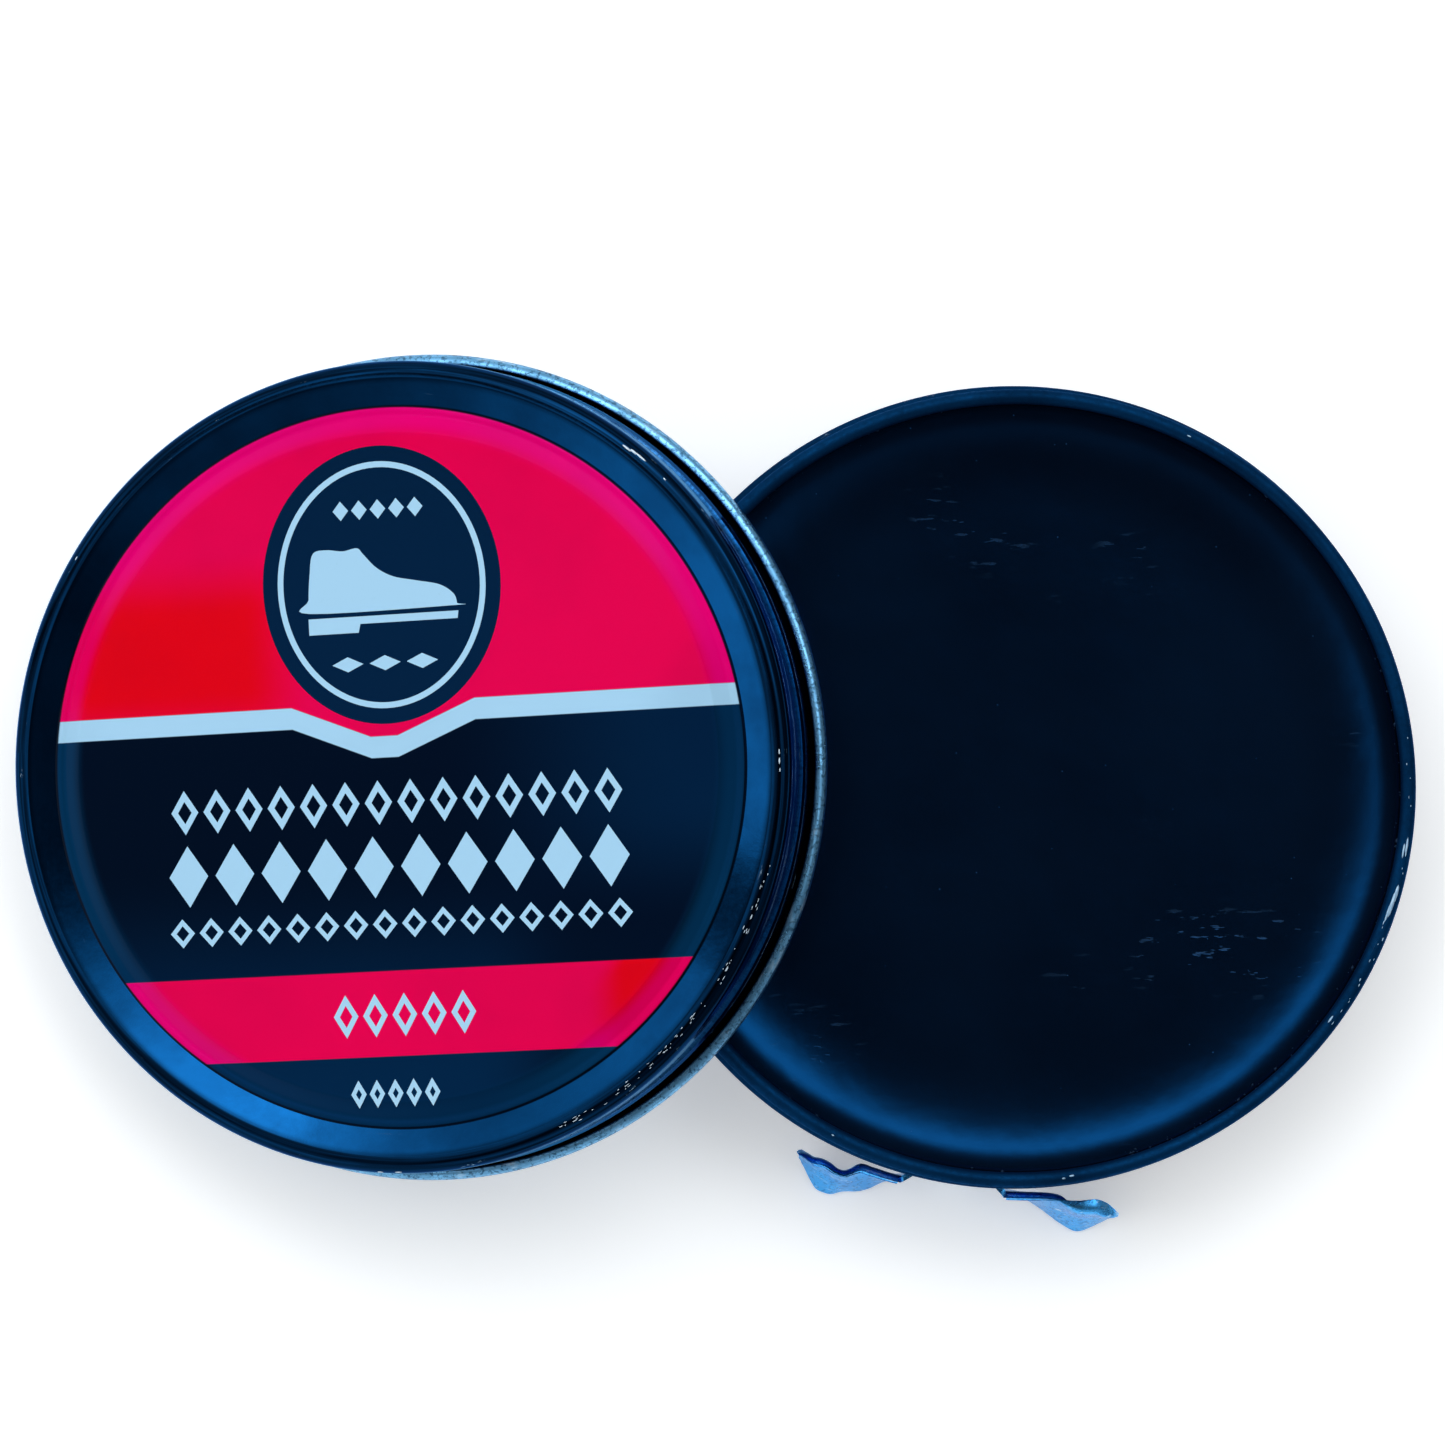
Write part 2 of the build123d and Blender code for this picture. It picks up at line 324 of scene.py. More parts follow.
class Finish:
    """One procedural material, with its place in the piece's own frame in millimetres."""

    def __init__(self, name, **sockets):
        self.material = bpy.data.materials.new(name)
        self.material.use_nodes = True
        self.tree = self.material.node_tree
        self.shader = next(n for n in self.tree.nodes if n.type == "BSDF_PRINCIPLED")
        for socket, value in sockets.items():
            self.set(socket.replace("_", " "), value)
        place = self.tree.nodes.new("ShaderNodeTexCoord")
        self.place = self.vector("SCALE", Field(self.tree, place.outputs["Object"]), scale=1 / MM)
        split = self.tree.nodes.new("ShaderNodeSeparateXYZ")
        put(self.tree, split.inputs[0], self.place)
        self.x, self.y, self.z = (Field(self.tree, out) for out in split.outputs)
        self.r = (self.x * self.x + self.y * self.y).math("SQRT")
        self.angle = self.y.math("ARCTAN2", self.x)

    def set(self, socket, value):
        put(self.tree, self.shader.inputs[socket], value)

    def vector(self, operation, first, second=None, scale=None):
        node = self.tree.nodes.new("ShaderNodeVectorMath")
        node.operation = operation
        put(self.tree, node.inputs[0], first)
        if second is not None:
            put(self.tree, node.inputs[1], second)
        if scale is not None:
            node.inputs["Scale"].default_value = scale
        return Field(self.tree, node.outputs[0])

    def stretched(self, x, y, z):
        """The place with each direction scaled, for grain and scratches."""
        return self.vector("MULTIPLY", self.place, (x, y, z))

    def around(self, along, across):
        """A place that runs round the axis: long strokes along the turn."""
        node = self.tree.nodes.new("ShaderNodeCombineXYZ")
        put(self.tree, node.inputs[0], self.angle * along)
        put(self.tree, node.inputs[1], self.r * across)
        put(self.tree, node.inputs[2], self.z * across)
        return Field(self.tree, node.outputs[0])

    def noise(self, scale, detail=3.0, roughness=0.5, at=None):
        node = self.tree.nodes.new("ShaderNodeTexNoise")
        put(self.tree, node.inputs["Vector"], at or self.place)
        node.inputs["Scale"].default_value = scale
        node.inputs["Detail"].default_value = detail
        node.inputs["Roughness"].default_value = roughness
        return Field(self.tree, node.outputs[0])

    def specks(self, scale, size):
        """Small round specks, 1 inside each."""
        node = self.tree.nodes.new("ShaderNodeTexVoronoi")
        put(self.tree, node.inputs["Vector"], self.place)
        node.inputs["Scale"].default_value = scale
        return Field(self.tree, node.outputs["Distance"]).rise(size, size * 0.6)

    def mix(self, amount, under, over):
        """Colour over laid on colour under."""
        node = self.tree.nodes.new("ShaderNodeMix")
        node.data_type = "RGBA"
        factor, _, _, _, _, _, a, b = node.inputs[:8]
        put(self.tree, factor, amount)
        put(self.tree, a, under)
        put(self.tree, b, over)
        return Field(self.tree, node.outputs[2])

    def bump(self, height, depth):
        """Relief: height from 0 to 1, depth in millimetres."""
        node = self.tree.nodes.new("ShaderNodeBump")
        node.inputs["Distance"].default_value = depth * MM
        put(self.tree, node.inputs["Height"], height)
        self.set("Normal", Field(self.tree, node.outputs[0]))


NAVY = (0.0015, 0.042, 0.135)
NAVY_DEEP = (0.0010, 0.026, 0.085)
STEEL = (0.42, 0.62, 0.80)


def scaled(colour, amount):
    return tuple(c * amount for c in colour)


def lacquer(name, worn_r, worn_half, roughness, depth, shade=0.0, rubbed_highlight_levels=()):
    """Dark blue lacquer over tinplate, with fine scratches round the part.

    Bare specks follow the raised edge at worn_r, and bare lines the heights in rubbed: partly wear, partly
    a painted highlight for the light lines along the lid's skirt. depth scales the blue, as painted light:
    the base's copy of the lacquer is darker and the lid's lighter. shade is painted shade: it darkens the
    shoulder outside the lid's ring, for the dark the shoulder reflects.
    """
    finish = Finish(name, IOR=1.5, Specular_Tint=(0.25, 0.6, 1.0, 1.0))
    cloud = finish.noise(0.09, 4, 0.6).rise(0.35, 0.7)
    fine = finish.noise(2.2, 3, 0.7)
    colour = finish.mix(cloud, scaled(NAVY, depth), scaled(NAVY_DEEP, depth))
    streaks = finish.noise(0.8, 3, at=finish.around(3, 6)).rise(0.4, 0.6)
    # Painted shade: the shoulder outside the lid's ring is darkened, for the dark surroundings it reflects.
    shoulder = finish.r.rise(LID_CREST_R - 0.6, LID_CREST_R + 0.2) * (0.75 + streaks * 0.25)
    colour = finish.mix(shoulder * shade, colour, scaled(NAVY_DEEP, 0.22))
    edge = finish.r.band(worn_r - worn_half, worn_r + worn_half, worn_half * 0.5)
    chips = finish.noise(1.1, 5, 0.75, at=finish.around(9, 1.2)).rise(0.66, 0.72) * edge
    hairlines = finish.noise(1.6, 4, 0.8, at=finish.around(2.0, 9)).rise(0.70, 0.76)
    bare = chips.larger(hairlines * 0.35)
    patchy = finish.noise(0.7, 4, 0.7, at=finish.around(5, 0.6)).rise(0.42, 0.60)
    # Bare lines at the given heights: partly wear, partly painted highlight for the light lines on the lid's
    # skirt; bare metal is less metallic, so it shows light under any lamp.
    for level in rubbed_highlight_levels:
        bare = bare.larger(finish.z.band(level - 0.07, level + 0.07, 0.05) * patchy * 0.7)
    finish.set("Base Color", finish.mix(bare, colour, STEEL))
    finish.set("Metallic", bare.rise(0, 1, 0.94, 0.55))
    finish.set("Roughness", fine.rise(0.3, 0.8, roughness * 0.8, roughness * 1.3))
    finish.bump(fine * 0.15 + finish.noise(0.25, 2) * 0.8 - bare * 0.5, 0.02)
    return finish.material


def bare_tin(name, tint, dark, pale=(0.45, 0.70, 0.90), grain=(7, 0.5)):
    """Bare tinplate: drawn lines round the part, dull patches, and a speckle, strongest on the curl."""
    finish = Finish(name, Metallic=1.0, IOR=1.5)
    lines = finish.noise(1.0, 4, 0.65, at=finish.around(*grain))
    patches = finish.noise(0.35, 4, 0.6).rise(0.35, 0.7)
    outwards = finish.r.rise(LID_FACE_R - 0.9, LID_FACE_R + 0.1, 0.25, 1.0)
    speckle = finish.noise(2.6, 3, 0.65).rise(0.52, 0.60) * outwards
    colour = finish.mix(patches * 0.3 + speckle * 0.55, tint, dark)
    finish.set("Base Color", finish.mix(lines.rise(0.56, 0.70) * 0.6, colour, pale))
    finish.set("Roughness", (lines * 0.5 + patches * 0.3).rise(0.1, 0.7, 0.22, 0.46))
    finish.bump(lines * 0.6 + speckle * 0.4, 0.02)
    return finish.material


def wax_finish():
    """Black wax polish: a poured, glossy skin with faint clouds, dust, and a few light scratches."""
    finish = Finish("black_wax", IOR=1.54, Specular_IOR_Level=1.0, Specular_Tint=(0.01, 0.30, 1.0, 1.0))
    clouds = finish.noise(0.05, 4, 0.55).rise(0.35, 0.7)
    grain = finish.noise(3.0, 4, 0.7)
    scratches = finish.noise(1.0, 3, 0.6, at=finish.stretched(0.35, 1.7, 1)).rise(0.61, 0.66)
    worked = finish.x.band(12, 27, 3) * finish.y.band(-18, -12, 2)
    worked = worked.larger(finish.noise(0.07).rise(0.6, 0.7) * 0.4)
    dust = finish.specks(0.5, 0.035)
    marks = (scratches * worked * 0.6).larger(dust * 0.5)
    deep = finish.mix(clouds, (0.0012, 0.003, 0.0075), (0.0008, 0.0015, 0.0035))
    finish.set("Base Color", finish.mix(marks, deep, (0.03, 0.06, 0.11)))
    finish.set("Roughness", (grain * 0.4 + marks).rise(0.1, 1.0, 0.20, 0.45))
    finish.bump(finish.noise(0.12, 3) + grain * 0.04 - marks * 0.1, 0.10)
    return finish.material


# ---- label artwork ------------------------------------------------------------------------------
CRIMSON = (0.80, 0.0001, 0.068)
MAGENTA_SHEEN = (0.80, 0.0002, 0.160)
RED = (0.76, 0.0001, 0.0003)
PAPER_WHITE = (0.39, 0.65, 0.85)
LABEL_NAVY = (0.0006, 0.0030, 0.0065)
LABEL_RIM_SHEEN = (0.0012, 0.034, 0.095)

STRIPE_LOW = 3.97
STRIPE_HIGH = 5.94
STRIPE_DIP = 3.05
DIP_MIDDLE_X = -0.85
DIP_HALF = 8.85
DIP_FLAT_HALF = 1.3
BAND_LOW = -26.6
BAND_HIGH = -18.75


def label_finish():
    """Printed label: a red field, a pale stripe with a dip, a dark field and a red band, under gloss."""
    finish = Finish("label_print", Roughness=0.07, IOR=1.5, Specular_IOR_Level=0.13,
                    Specular_Tint=(0.02, 0.12, 0.6, 1.0))
    soft = 0.05
    across = (finish.x - DIP_MIDDLE_X).size()
    straight = ((DIP_HALF - across) / (DIP_HALF - DIP_FLAT_HALF)).smaller(1.0).larger(0.0)
    y = finish.y + straight * STRIPE_DIP
    upper = y.rise(STRIPE_HIGH - soft, STRIPE_HIGH + soft)
    stripe = y.band(STRIPE_LOW, STRIPE_HIGH, soft)
    band = finish.y.band(BAND_LOW, BAND_HIGH, soft)
    # Painted reflection: a lighter ring where the label runs down the panel's step, magenta on the red and
    # blue on the dark field.
    rim = finish.r.rise(LID_PANEL_R - 0.6, LID_PANEL_R + 1.0)
    edge = finish.r.rise(LABEL_R - 0.3, LABEL_R - 0.15)
    # The red is purer at the left, above the stripe, and at the right end of the band.
    patch = finish.x.rise(-7, -14) * finish.y.band(5, 18, 3)
    low_patch = finish.x.rise(17, 21) * finish.r.rise(26.5, 28.5)
    red = finish.mix(rim, CRIMSON, MAGENTA_SHEEN)
    red = finish.mix((patch * upper).larger(low_patch * band) * (1 - rim * 0.6), red, RED)
    navy = finish.mix(rim * 0.85, LABEL_NAVY, LABEL_RIM_SHEEN)
    # The dark field turns bluer towards the foot and the lower right.
    sheen = finish.y.rise(-8, -30) * finish.x.rise(6, 18, 0.8, 0.1)
    sheen = sheen + finish.x.rise(4, 30) * finish.y.rise(-16, -4) * 0.55
    navy = finish.mix(sheen, navy, (0.001, 0.021, 0.066))
    colour = finish.mix(upper.larger(band), navy, red)
    colour = finish.mix(stripe, colour, PAPER_WHITE)
    colour = finish.mix(edge, colour, LABEL_NAVY)
    colour = finish.mix(finish.noise(0.06, 3, 0.5).rise(0.4, 0.8) * 0.12, colour, (0.0, 0.0, 0.01))
    finish.set("Base Color", colour)
    finish.bump(finish.noise(1.8, 3, 0.6) * 0.3 + finish.noise(0.2, 2) * 0.7, 0.015)
    return finish.material


def under_label_finish():
    """The label under the tin: plain pale paper with a dark border, dark lines and a red bar."""
    finish = Finish("under_label", Roughness=0.35, IOR=1.5, Specular_IOR_Level=0.3)
    pale = finish.mix(finish.noise(0.12, 3), PAPER_WHITE, scaled(PAPER_WHITE, 0.85))
    border = finish.r.band(27.6, 28.6, 0.06)
    bar = finish.y.band(8.0, 13.0, 0.05) * finish.x.band(-16, 16, 0.05)
    lines = (finish.y * 0.5).math("FRACT").band(0.3, 0.5, 0.04) * finish.y.band(-14, 4, 0.05)
    lines = lines * finish.x.band(-18, 18, 0.05)
    colour = finish.mix(border.larger(lines), pale, LABEL_NAVY)
    finish.set("Base Color", finish.mix(bar, colour, CRIMSON))
    finish.bump(finish.noise(1.8, 3), 0.015)
    return finish.material


def ink(name, colour):
    """Printing ink with a little wear."""
    finish = Finish(name, Roughness=0.07, IOR=1.5, Specular_IOR_Level=0.13,
                    Specular_Tint=(0.02, 0.12, 0.6, 1.0))
    worn = finish.noise(1.5, 4, 0.7).rise(0.6, 0.8) * 0.15
    finish.set("Base Color", finish.mix(worn, colour, scaled(colour, 0.6)))
    finish.bump(finish.noise(2.0, 3), 0.01)
    return finish.material


def print_layer(name, loops, z, material):
    """A flat layer of ink from closed loops of (x, y) points; a loop inside another is a hole."""
    curve = bpy.data.curves.new(name, "CURVE")
    curve.dimensions = "2D"
    curve.fill_mode = "BOTH"
    curve.extrude = INK * MM / 2
    for loop in loops:
        spline = curve.splines.new("POLY")
        spline.points.add(len(loop) - 1)
        for point, (x, y) in zip(spline.points, loop):
            point.co = (x * MM, y * MM, 0, 1)
        spline.use_cyclic_u = True
    drawn = bpy.data.objects.new(name, curve)
    bpy.context.scene.collection.objects.link(drawn)
    depsgraph = bpy.context.evaluated_depsgraph_get()
    mesh = bpy.data.meshes.new_from_object(drawn.evaluated_get(depsgraph))
    bpy.data.objects.remove(drawn)
    mesh.transform(Matrix.Translation((0, 0, z * MM)))
    mesh.materials.clear()
    mesh.materials.append(material)
    piece = bpy.data.objects.new(name, mesh)
    bpy.context.scene.collection.objects.link(piece)
    piece.matrix_world = LABEL
    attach(piece, "lid")


def oval(centre, half_width, half_height):
    count = 96
    angles = [TURN * i / count for i in range(count)]
    return [(centre[0] + half_width * cos(a), centre[1] + half_height * sin(a)) for a in angles]


def diamond(x, y, half_width, half_height):
    return [(x - half_width, y), (x, y - half_height), (x + half_width, y), (x, y + half_height)]


def diamond_row(y, x_from, x_to, count, half_height, line):
    """A row of diamonds; line gives the width of outlined ones, or None."""
    loops = []
    pitch = (x_to - x_from) / count
    half_width = pitch * 0.42
    for i in range(count):
        x = x_from + pitch * (i + 0.5)
        loops.append(diamond(x, y, half_width, half_height))
        if line:
            share = 1 - line * sqrt(half_width ** 2 + half_height ** 2) / (half_width * half_height)
            loops.append(diamond(x, y, half_width * share, half_height * share))
    return loops


# A plain boot and its sole from the side, toe to the right.
SHOE = (
    (-7.0, -2.9), (-7.1, -1.6), (-6.9, 0.6), (-6.5, 2.6), (-5.2, 2.9), (-3.6, 2.7), (-2.2, 2.9),
    (-1.6, 2.3), (-0.4, 1.0), (1.2, 0.1), (3.4, -0.4), (5.6, -0.9), (6.9, -1.8), (7.2, -2.7), (7.0, -2.9))
SOLE = ((-7.2, -3.4), (7.3, -3.4), (7.2, -4.1), (-2.2, -4.1), (-2.4, -4.9), (-7.2, -4.9))


def smooth_loop(points):
    """A Catmull-Rom curve through the points, closed."""
    count = 6
    total = len(points)
    result = []
    for i in range(total):
        a, b, c, d = (Vector(points[(i + k - 1) % total]) for k in range(4))
        for j in range(count):
            t = j / count
            result.append(tuple(0.5 * ((2 * b) + (c - a) * t + (2 * a - 5 * b + 4 * c - d) * t * t
                                       + (3 * b - a - 3 * c + d) * t ** 3)))
    return result


def moved(points, x, y):
    return [(px + x, py + y) for px, py in points]


BADGE = (-0.4, 16.85)
BADGE_HALF = (11.5, 12.85)
BADGE_INSET = 1.45           # from the badge's edge to its ring
BADGE_LINE = 0.55            # width of the ring
SHOE_RISE = 0.6              # the shoe stands this far above the badge's middle

# Rows of diamonds where a label has print: height of the row's middle, its left and right ends, how many,
# their half height, and the width of the line for outlined ones. The badge's rows are about its middle.
BADGE_ROWS = ((7.0, -4.5, 4.5, 5, 0.9, None), (-7.2, -5.4, 5.4, 3, 0.7, None))
FIELD_ROWS = ((-3.2, -22.2, 21.9, 14, 2.05, 0.55), (-9.15, -22.8, 22.4, 10, 2.85, None),
              (-14.4, -22.8, 22.3, 16, 1.35, 0.42))
BAND_ROWS = ((-22.8, -7.3, 6.9, 5, 2.0, 0.5),)
FOOT_ROWS = ((-30.0, -5.9, 3.0, 5, 1.3, 0.4),)


def diamond_rows(rows, x=0.0, y=0.0):
    """The diamonds of several rows, about (x, y)."""
    return [moved(loop, x, y) for row in rows for loop in diamond_row(*row)]


def label_artwork():
    """The print that stands on the label's flat middle: a plain oval with a shoe, and rows of diamonds."""
    pale = ink("pale_ink", PAPER_WHITE)
    dark = ink("navy_ink", (0.0012, 0.014, 0.042))
    soaked_in = INK * 0.3
    top = LID_H - LID_PANEL_DROP + PAPER - soaked_in
    x, y = BADGE
    outer = [half - BADGE_INSET for half in BADGE_HALF]
    inner = [half - BADGE_LINE for half in outer]
    print_layer("badge_ground", [oval(BADGE, *BADGE_HALF)], top, dark)
    print_layer("badge_line", [oval(BADGE, *outer), oval(BADGE, *inner)], top + INK, pale)
    shoe = [moved(smooth_loop(SHOE), x, y + SHOE_RISE), moved(SOLE, x, y + SHOE_RISE)]
    print_layer("badge_shoe", shoe, top + INK, pale)
    print_layer("badge_marks", diamond_rows(BADGE_ROWS, x, y), top + INK, pale)
    for name, rows in (("diamond_rows", FIELD_ROWS), ("band_marks", BAND_ROWS), ("foot_marks", FOOT_ROWS)):
        print_layer(name, diamond_rows(rows), top, pale)


# ---- pieces -------------------------------------------------------------------------------------
def sheet_section(path, side, thickness=SHEET):
    """A closed outline of a sheet, and its bands: 0 on the side of the path, 1 on the other side."""
    other = beside(path, side * thickness)
    outline = path + other[::-1]
    bands = [0] * (len(path) - 1) + [1] * len(other) + [1]
    return outline, bands


def base_path():
    """The lacquered side of the base tin's sheet, from the middle of its bottom to the rolled rim."""
    foot_in = FOOT_R - FOOT_HALF
    below_bead = 0.3
    floor = rounded([
        (0, PANEL_RISE, 0), (foot_in - PANEL_RISE, PANEL_RISE, PANEL_FILLET), (foot_in, 0, PANEL_FILLET),
        (WALL_R, 0, FOOT_FILLET), (WALL_R, BEAD_Z - BEAD_HALF - below_bead, 0)])
    steps = 8
    bead = []
    for i in range(1, 2 * steps):
        foot_r = WALL_R if i <= steps else NECK_R
        swell = (1 - cos(pi * i / steps)) / 2
        bead.append((foot_r + (BEAD_R - foot_r) * swell, BEAD_Z - BEAD_HALF + BEAD_HALF * i / steps))
    roll = arc((NECK_R - RIM_ROLL_R, BASE_H - RIM_ROLL_R), RIM_ROLL_R, 0, RIM_ROLL_TURN)
    return divided(floor + bead + [(NECK_R, BEAD_Z + BEAD_HALF)] + roll, LONGEST_RUN)


def make_base():
    outline, bands = sheet_section(base_path(), 1)
    # Painted shade: depth 0.75 makes this copy of the lacquer darker than the lid's.
    outside = lacquer("navy_lacquer_base", BEAD_R, worn_half=0.25, roughness=0.62, depth=0.75)
    # Painted shade: the inside is near black, for the inner wall in the rolled rim's shadow.
    inside = bare_tin("tin_inside_base_painted_shade", tint=(0.05, 0.07, 0.09), dark=(0.03, 0.02, 0.018),
                      pale=(0.06, 0.05, 0.05))
    tin = lathe("tin_body", outline, [outside, inside], bands, wobble=waves(3.0))
    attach(tin, "tin")
    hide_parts("base_tin")


def wax_level(r):
    """Height of the polish at a radius: level, a soft step where it shrank, and a climb at the wall."""
    hollow = POLISH_STEEP_R - POLISH_FLAT_R
    shoulder = POLISH_STEP_R - POLISH_STEEP_R
    inner = min(1.0, max(0.0, (r - POLISH_FLAT_R) / hollow))
    outer = min(1.0, max(0.0, (r - POLISH_STEEP_R) / shoulder))
    rise = POLISH_SLOPE * hollow * inner ** 3 / 3
    return POLISH_Z + rise + POLISH_SLOPE * shoulder * (outer - outer ** 2 / 2)


def make_wax():
    wall = WALL_R - SHEET - POLISH_GAP
    floor_z = PANEL_RISE + SHEET
    bevel_r, bevel_z = POLISH_FOOT_BEVEL
    rings = 90
    top_z, edge_r = POLISH_Z - 0.5, wall - 0.01
    swell_height, ripple_height, ragged_height = 0.06, 0.012, 0.16
    top = [(wall * i / rings, wax_level(wall * i / rings)) for i in range(rings + 1)]
    outline = top + [(wall, POLISH_FOOT_Z + bevel_z), (wall - bevel_r, POLISH_FOOT_Z),
                     (FOOT_R - FOOT_HALF, POLISH_FOOT_Z), (POLISH_PANEL_R, floor_z), (0, floor_z)]

    def wobble(r, z, angle):
        """The top's waves from pouring, and a ragged edge; the sides stay true."""
        if z < top_z or r > edge_r:
            return 0, 0
        place = Vector((r * cos(angle), r * sin(angle), 0))
        pour = noise.noise(place * 0.07) * swell_height + noise.noise(place * 0.3) * ripple_height
        edge = max(0.0, (r - POLISH_STEP_R) / (wall - POLISH_STEP_R)) ** 2
        ragged = noise.noise(Vector((cos(angle) * 9, sin(angle) * 9, 4))) * ragged_height
        return 0, pour * (1 - edge) + ragged * edge

    wax = lathe("wax", outline, [wax_finish()], wobble=wobble)
    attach(wax, "tin")
    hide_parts("polish")


def make_crumbs():
    """Dried bits of polish along the edge of the wax, thicker in two drifts."""
    rng = np.random.default_rng(11)
    corners = [(1, 0, 0), (0, 1, 0), (-1, 0, 0), (0, -1, 0), (0, 0, 1), (0, 0, -1)]
    sides = [(0, 1, 4), (1, 2, 4), (2, 3, 4), (3, 0, 4), (1, 0, 5), (2, 1, 5), (3, 2, 5), (0, 3, 5)]
    drifts = ((-75, 25, 70), (110, 175, 24), (-180, 180, 36))
    angles = np.radians(np.concatenate([rng.uniform(low, high, count) for low, high, count in drifts]))
    edge_r = 35.8
    points = []
    faces = []
    for angle in angles:
        r = edge_r - abs(rng.normal(0, 0.3))
        size = 0.04 + 0.16 * rng.uniform() ** 2
        stretch = rng.uniform(0.6, 1.9)
        middle = Vector((r * cos(angle), r * sin(angle), wax_level(r) + size * 0.2))
        turn = Matrix.Rotation(angle + rng.uniform(-0.5, 0.5), 3, "Z")
        faces += [tuple(len(points) + k for k in side) for side in sides]
        for x, y, z in corners:
            corner = Vector((x * size, y * size * stretch, z * size * 0.6)) * rng.uniform(0.7, 1.2)
            points.append(middle + turn @ corner)
    dried = Finish("dried_wax", IOR=1.5, Specular_Tint=(0.2, 0.5, 1.0, 1.0))
    dried.set("Base Color", dried.mix(dried.noise(2.0), (0.002, 0.006, 0.016), (0.015, 0.03, 0.06)))
    dried.set("Roughness", dried.noise(5.0).rise(0.3, 0.7, 0.3, 0.6))
    crumbs = mesh_object("wax_crumbs", points, faces, [dried.material])
    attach(crumbs, "tin")


def lid_face():
    """Corners of the lid's face, out to the bottom of the channel."""
    panel_fillet, channel_fillet = LID_PANEL_FILLETS
    return [(0, LID_H - LID_PANEL_DROP, 0), (LID_PANEL_R, LID_H - LID_PANEL_DROP, panel_fillet),
            (LID_CHANNEL_R, LID_H - LID_CHANNEL_DROP, channel_fillet)]


def lid_path():
    """The lacquered side of the lid's sheet, from the middle of its face to the end of the curl."""
    rib = LID_FACE_R - LID_SKIRT_R
    step_half = 2 * rib
    rib_half = 4 * rib
    drawn = rounded(lid_face() + [
        (LID_CREST_R, LID_H, LID_CREST_FILLET), (LID_FACE_R, LID_H, LID_SHOULDER_FILLET),
        (LID_FACE_R, LID_STEP_Z + step_half, LID_STEP_FILLET),
        (LID_SKIRT_R, LID_STEP_Z - step_half, LID_STEP_FILLET),
        (LID_SKIRT_R, LID_RIB_Z + rib_half, LID_RIB_FILLET), (LID_FACE_R, LID_RIB_Z, LID_RIB_FILLET),
        (LID_SKIRT_R, LID_RIB_Z - rib_half, LID_RIB_FILLET), (LID_SKIRT_R, LID_CURL_R, 0)])
    inside = LID_CURL_R - SHEET
    curl = arc((LID_SKIRT_R + inside, LID_CURL_R), inside, 180, CURL_TURN)
    return divided(drawn + curl[1:], LONGEST_RUN)


def make_lid():
    outline, bands = sheet_section(lid_path(), -1)
    # Heights of the bare lines: partly wear, partly painted highlight.
    rubbed_highlight_levels = (LID_STEP_Z + 1.5, LID_STEP_Z + 0.5, LID_STEP_Z - 0.5, LID_RIB_Z)
    # Painted light: depth 1.5 makes this copy of the lacquer lighter than the base's; shade 1.0 paints shade
    # on the shoulder.
    outside = lacquer("navy_lacquer_lid", LID_CREST_R + 1.0, worn_half=0.6, roughness=0.11, depth=1.5,
                      shade=1.0, rubbed_highlight_levels=rubbed_highlight_levels)
    inside = bare_tin("tin_inside_lid", tint=(0.17, 0.44, 0.72), dark=(0.006, 0.04, 0.09),
                      pale=(0.6, 0.8, 0.95))
    lid = lathe("lid_body", outline, [outside, inside], bands, wobble=waves(7.0))
    lid.matrix_world = LID
    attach(lid, "lid")
    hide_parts("lid_shell")


def make_label():
    slope = LID_CHANNEL_DROP / (LID_CREST_R - LID_CHANNEL_R)
    edge_z = LID_H - LID_CHANNEL_DROP + slope * (LABEL_R - LID_CHANNEL_R)
    path = divided(rounded(lid_face() + [(LABEL_R, edge_z, 0)]), LONGEST_RUN)
    outline, _ = sheet_section(path, 1, PAPER)
    label = lathe("lid_print", outline, [label_finish()])
    label.matrix_world = LABEL
    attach(label, "lid")
    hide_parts("lid_label")


# Outer face of each wing, from the key's own frame: distance from the pivot, half height, then how far
# out its bottom edge, its middle, its ridge and its turned-in lip stand from the tin's axis.
LEFT_WING = (
    (4.8, 1.85, 38.38, 38.38, 38.38, 38.38), (6.5, 2.2, 38.95, 38.50, 38.17, 38.15),
    (8.0, 2.5, 39.90, 38.85, 37.95, 37.90), (8.9, 2.7, 40.25, 39.05, 37.80, 37.73),
    (9.6, 2.75, 40.35, 39.25, 38.30, 38.05), (10.3, 2.8, 40.50, 39.40, 38.62, 38.40),
    (11.2, 2.8, 40.85, 39.35, 38.52, 38.25), (12.1, 2.75, 40.75, 38.95, 38.02, 37.85),
    (12.8, 2.6, 40.45, 38.65, 37.80, 37.73), (13.6, 2.3, 39.45, 38.15, 37.76, 37.72),
    (14.4, 1.5, 38.30, 37.75, 37.48, 37.45), (14.8, 0.8, 37.75, 37.45, 37.30, 37.28))
RIGHT_WING = (
    (4.8, 1.85, 38.38, 38.38, 38.38, 38.38), (7.0, 2.3, 38.60, 38.35, 38.14, 38.10),
    (8.4, 2.55, 39.20, 38.60, 38.00, 37.88), (9.9, 2.75, 40.00, 38.95, 38.02, 37.78),
    (10.7, 2.8, 40.45, 39.20, 38.55, 37.82), (12.0, 2.85, 40.95, 39.55, 39.00, 37.64),
    (12.8, 2.8, 40.90, 39.50, 38.92, 37.40), (13.7, 2.6, 40.40, 39.30, 38.80, 37.30),
    (14.7, 2.05, 39.65, 39.15, 38.98, 37.60), (15.5, 1.35, 39.10, 39.00, 38.92, 38.10),
    (15.9, 0.8, 38.85, 38.80, 38.74, 38.40))


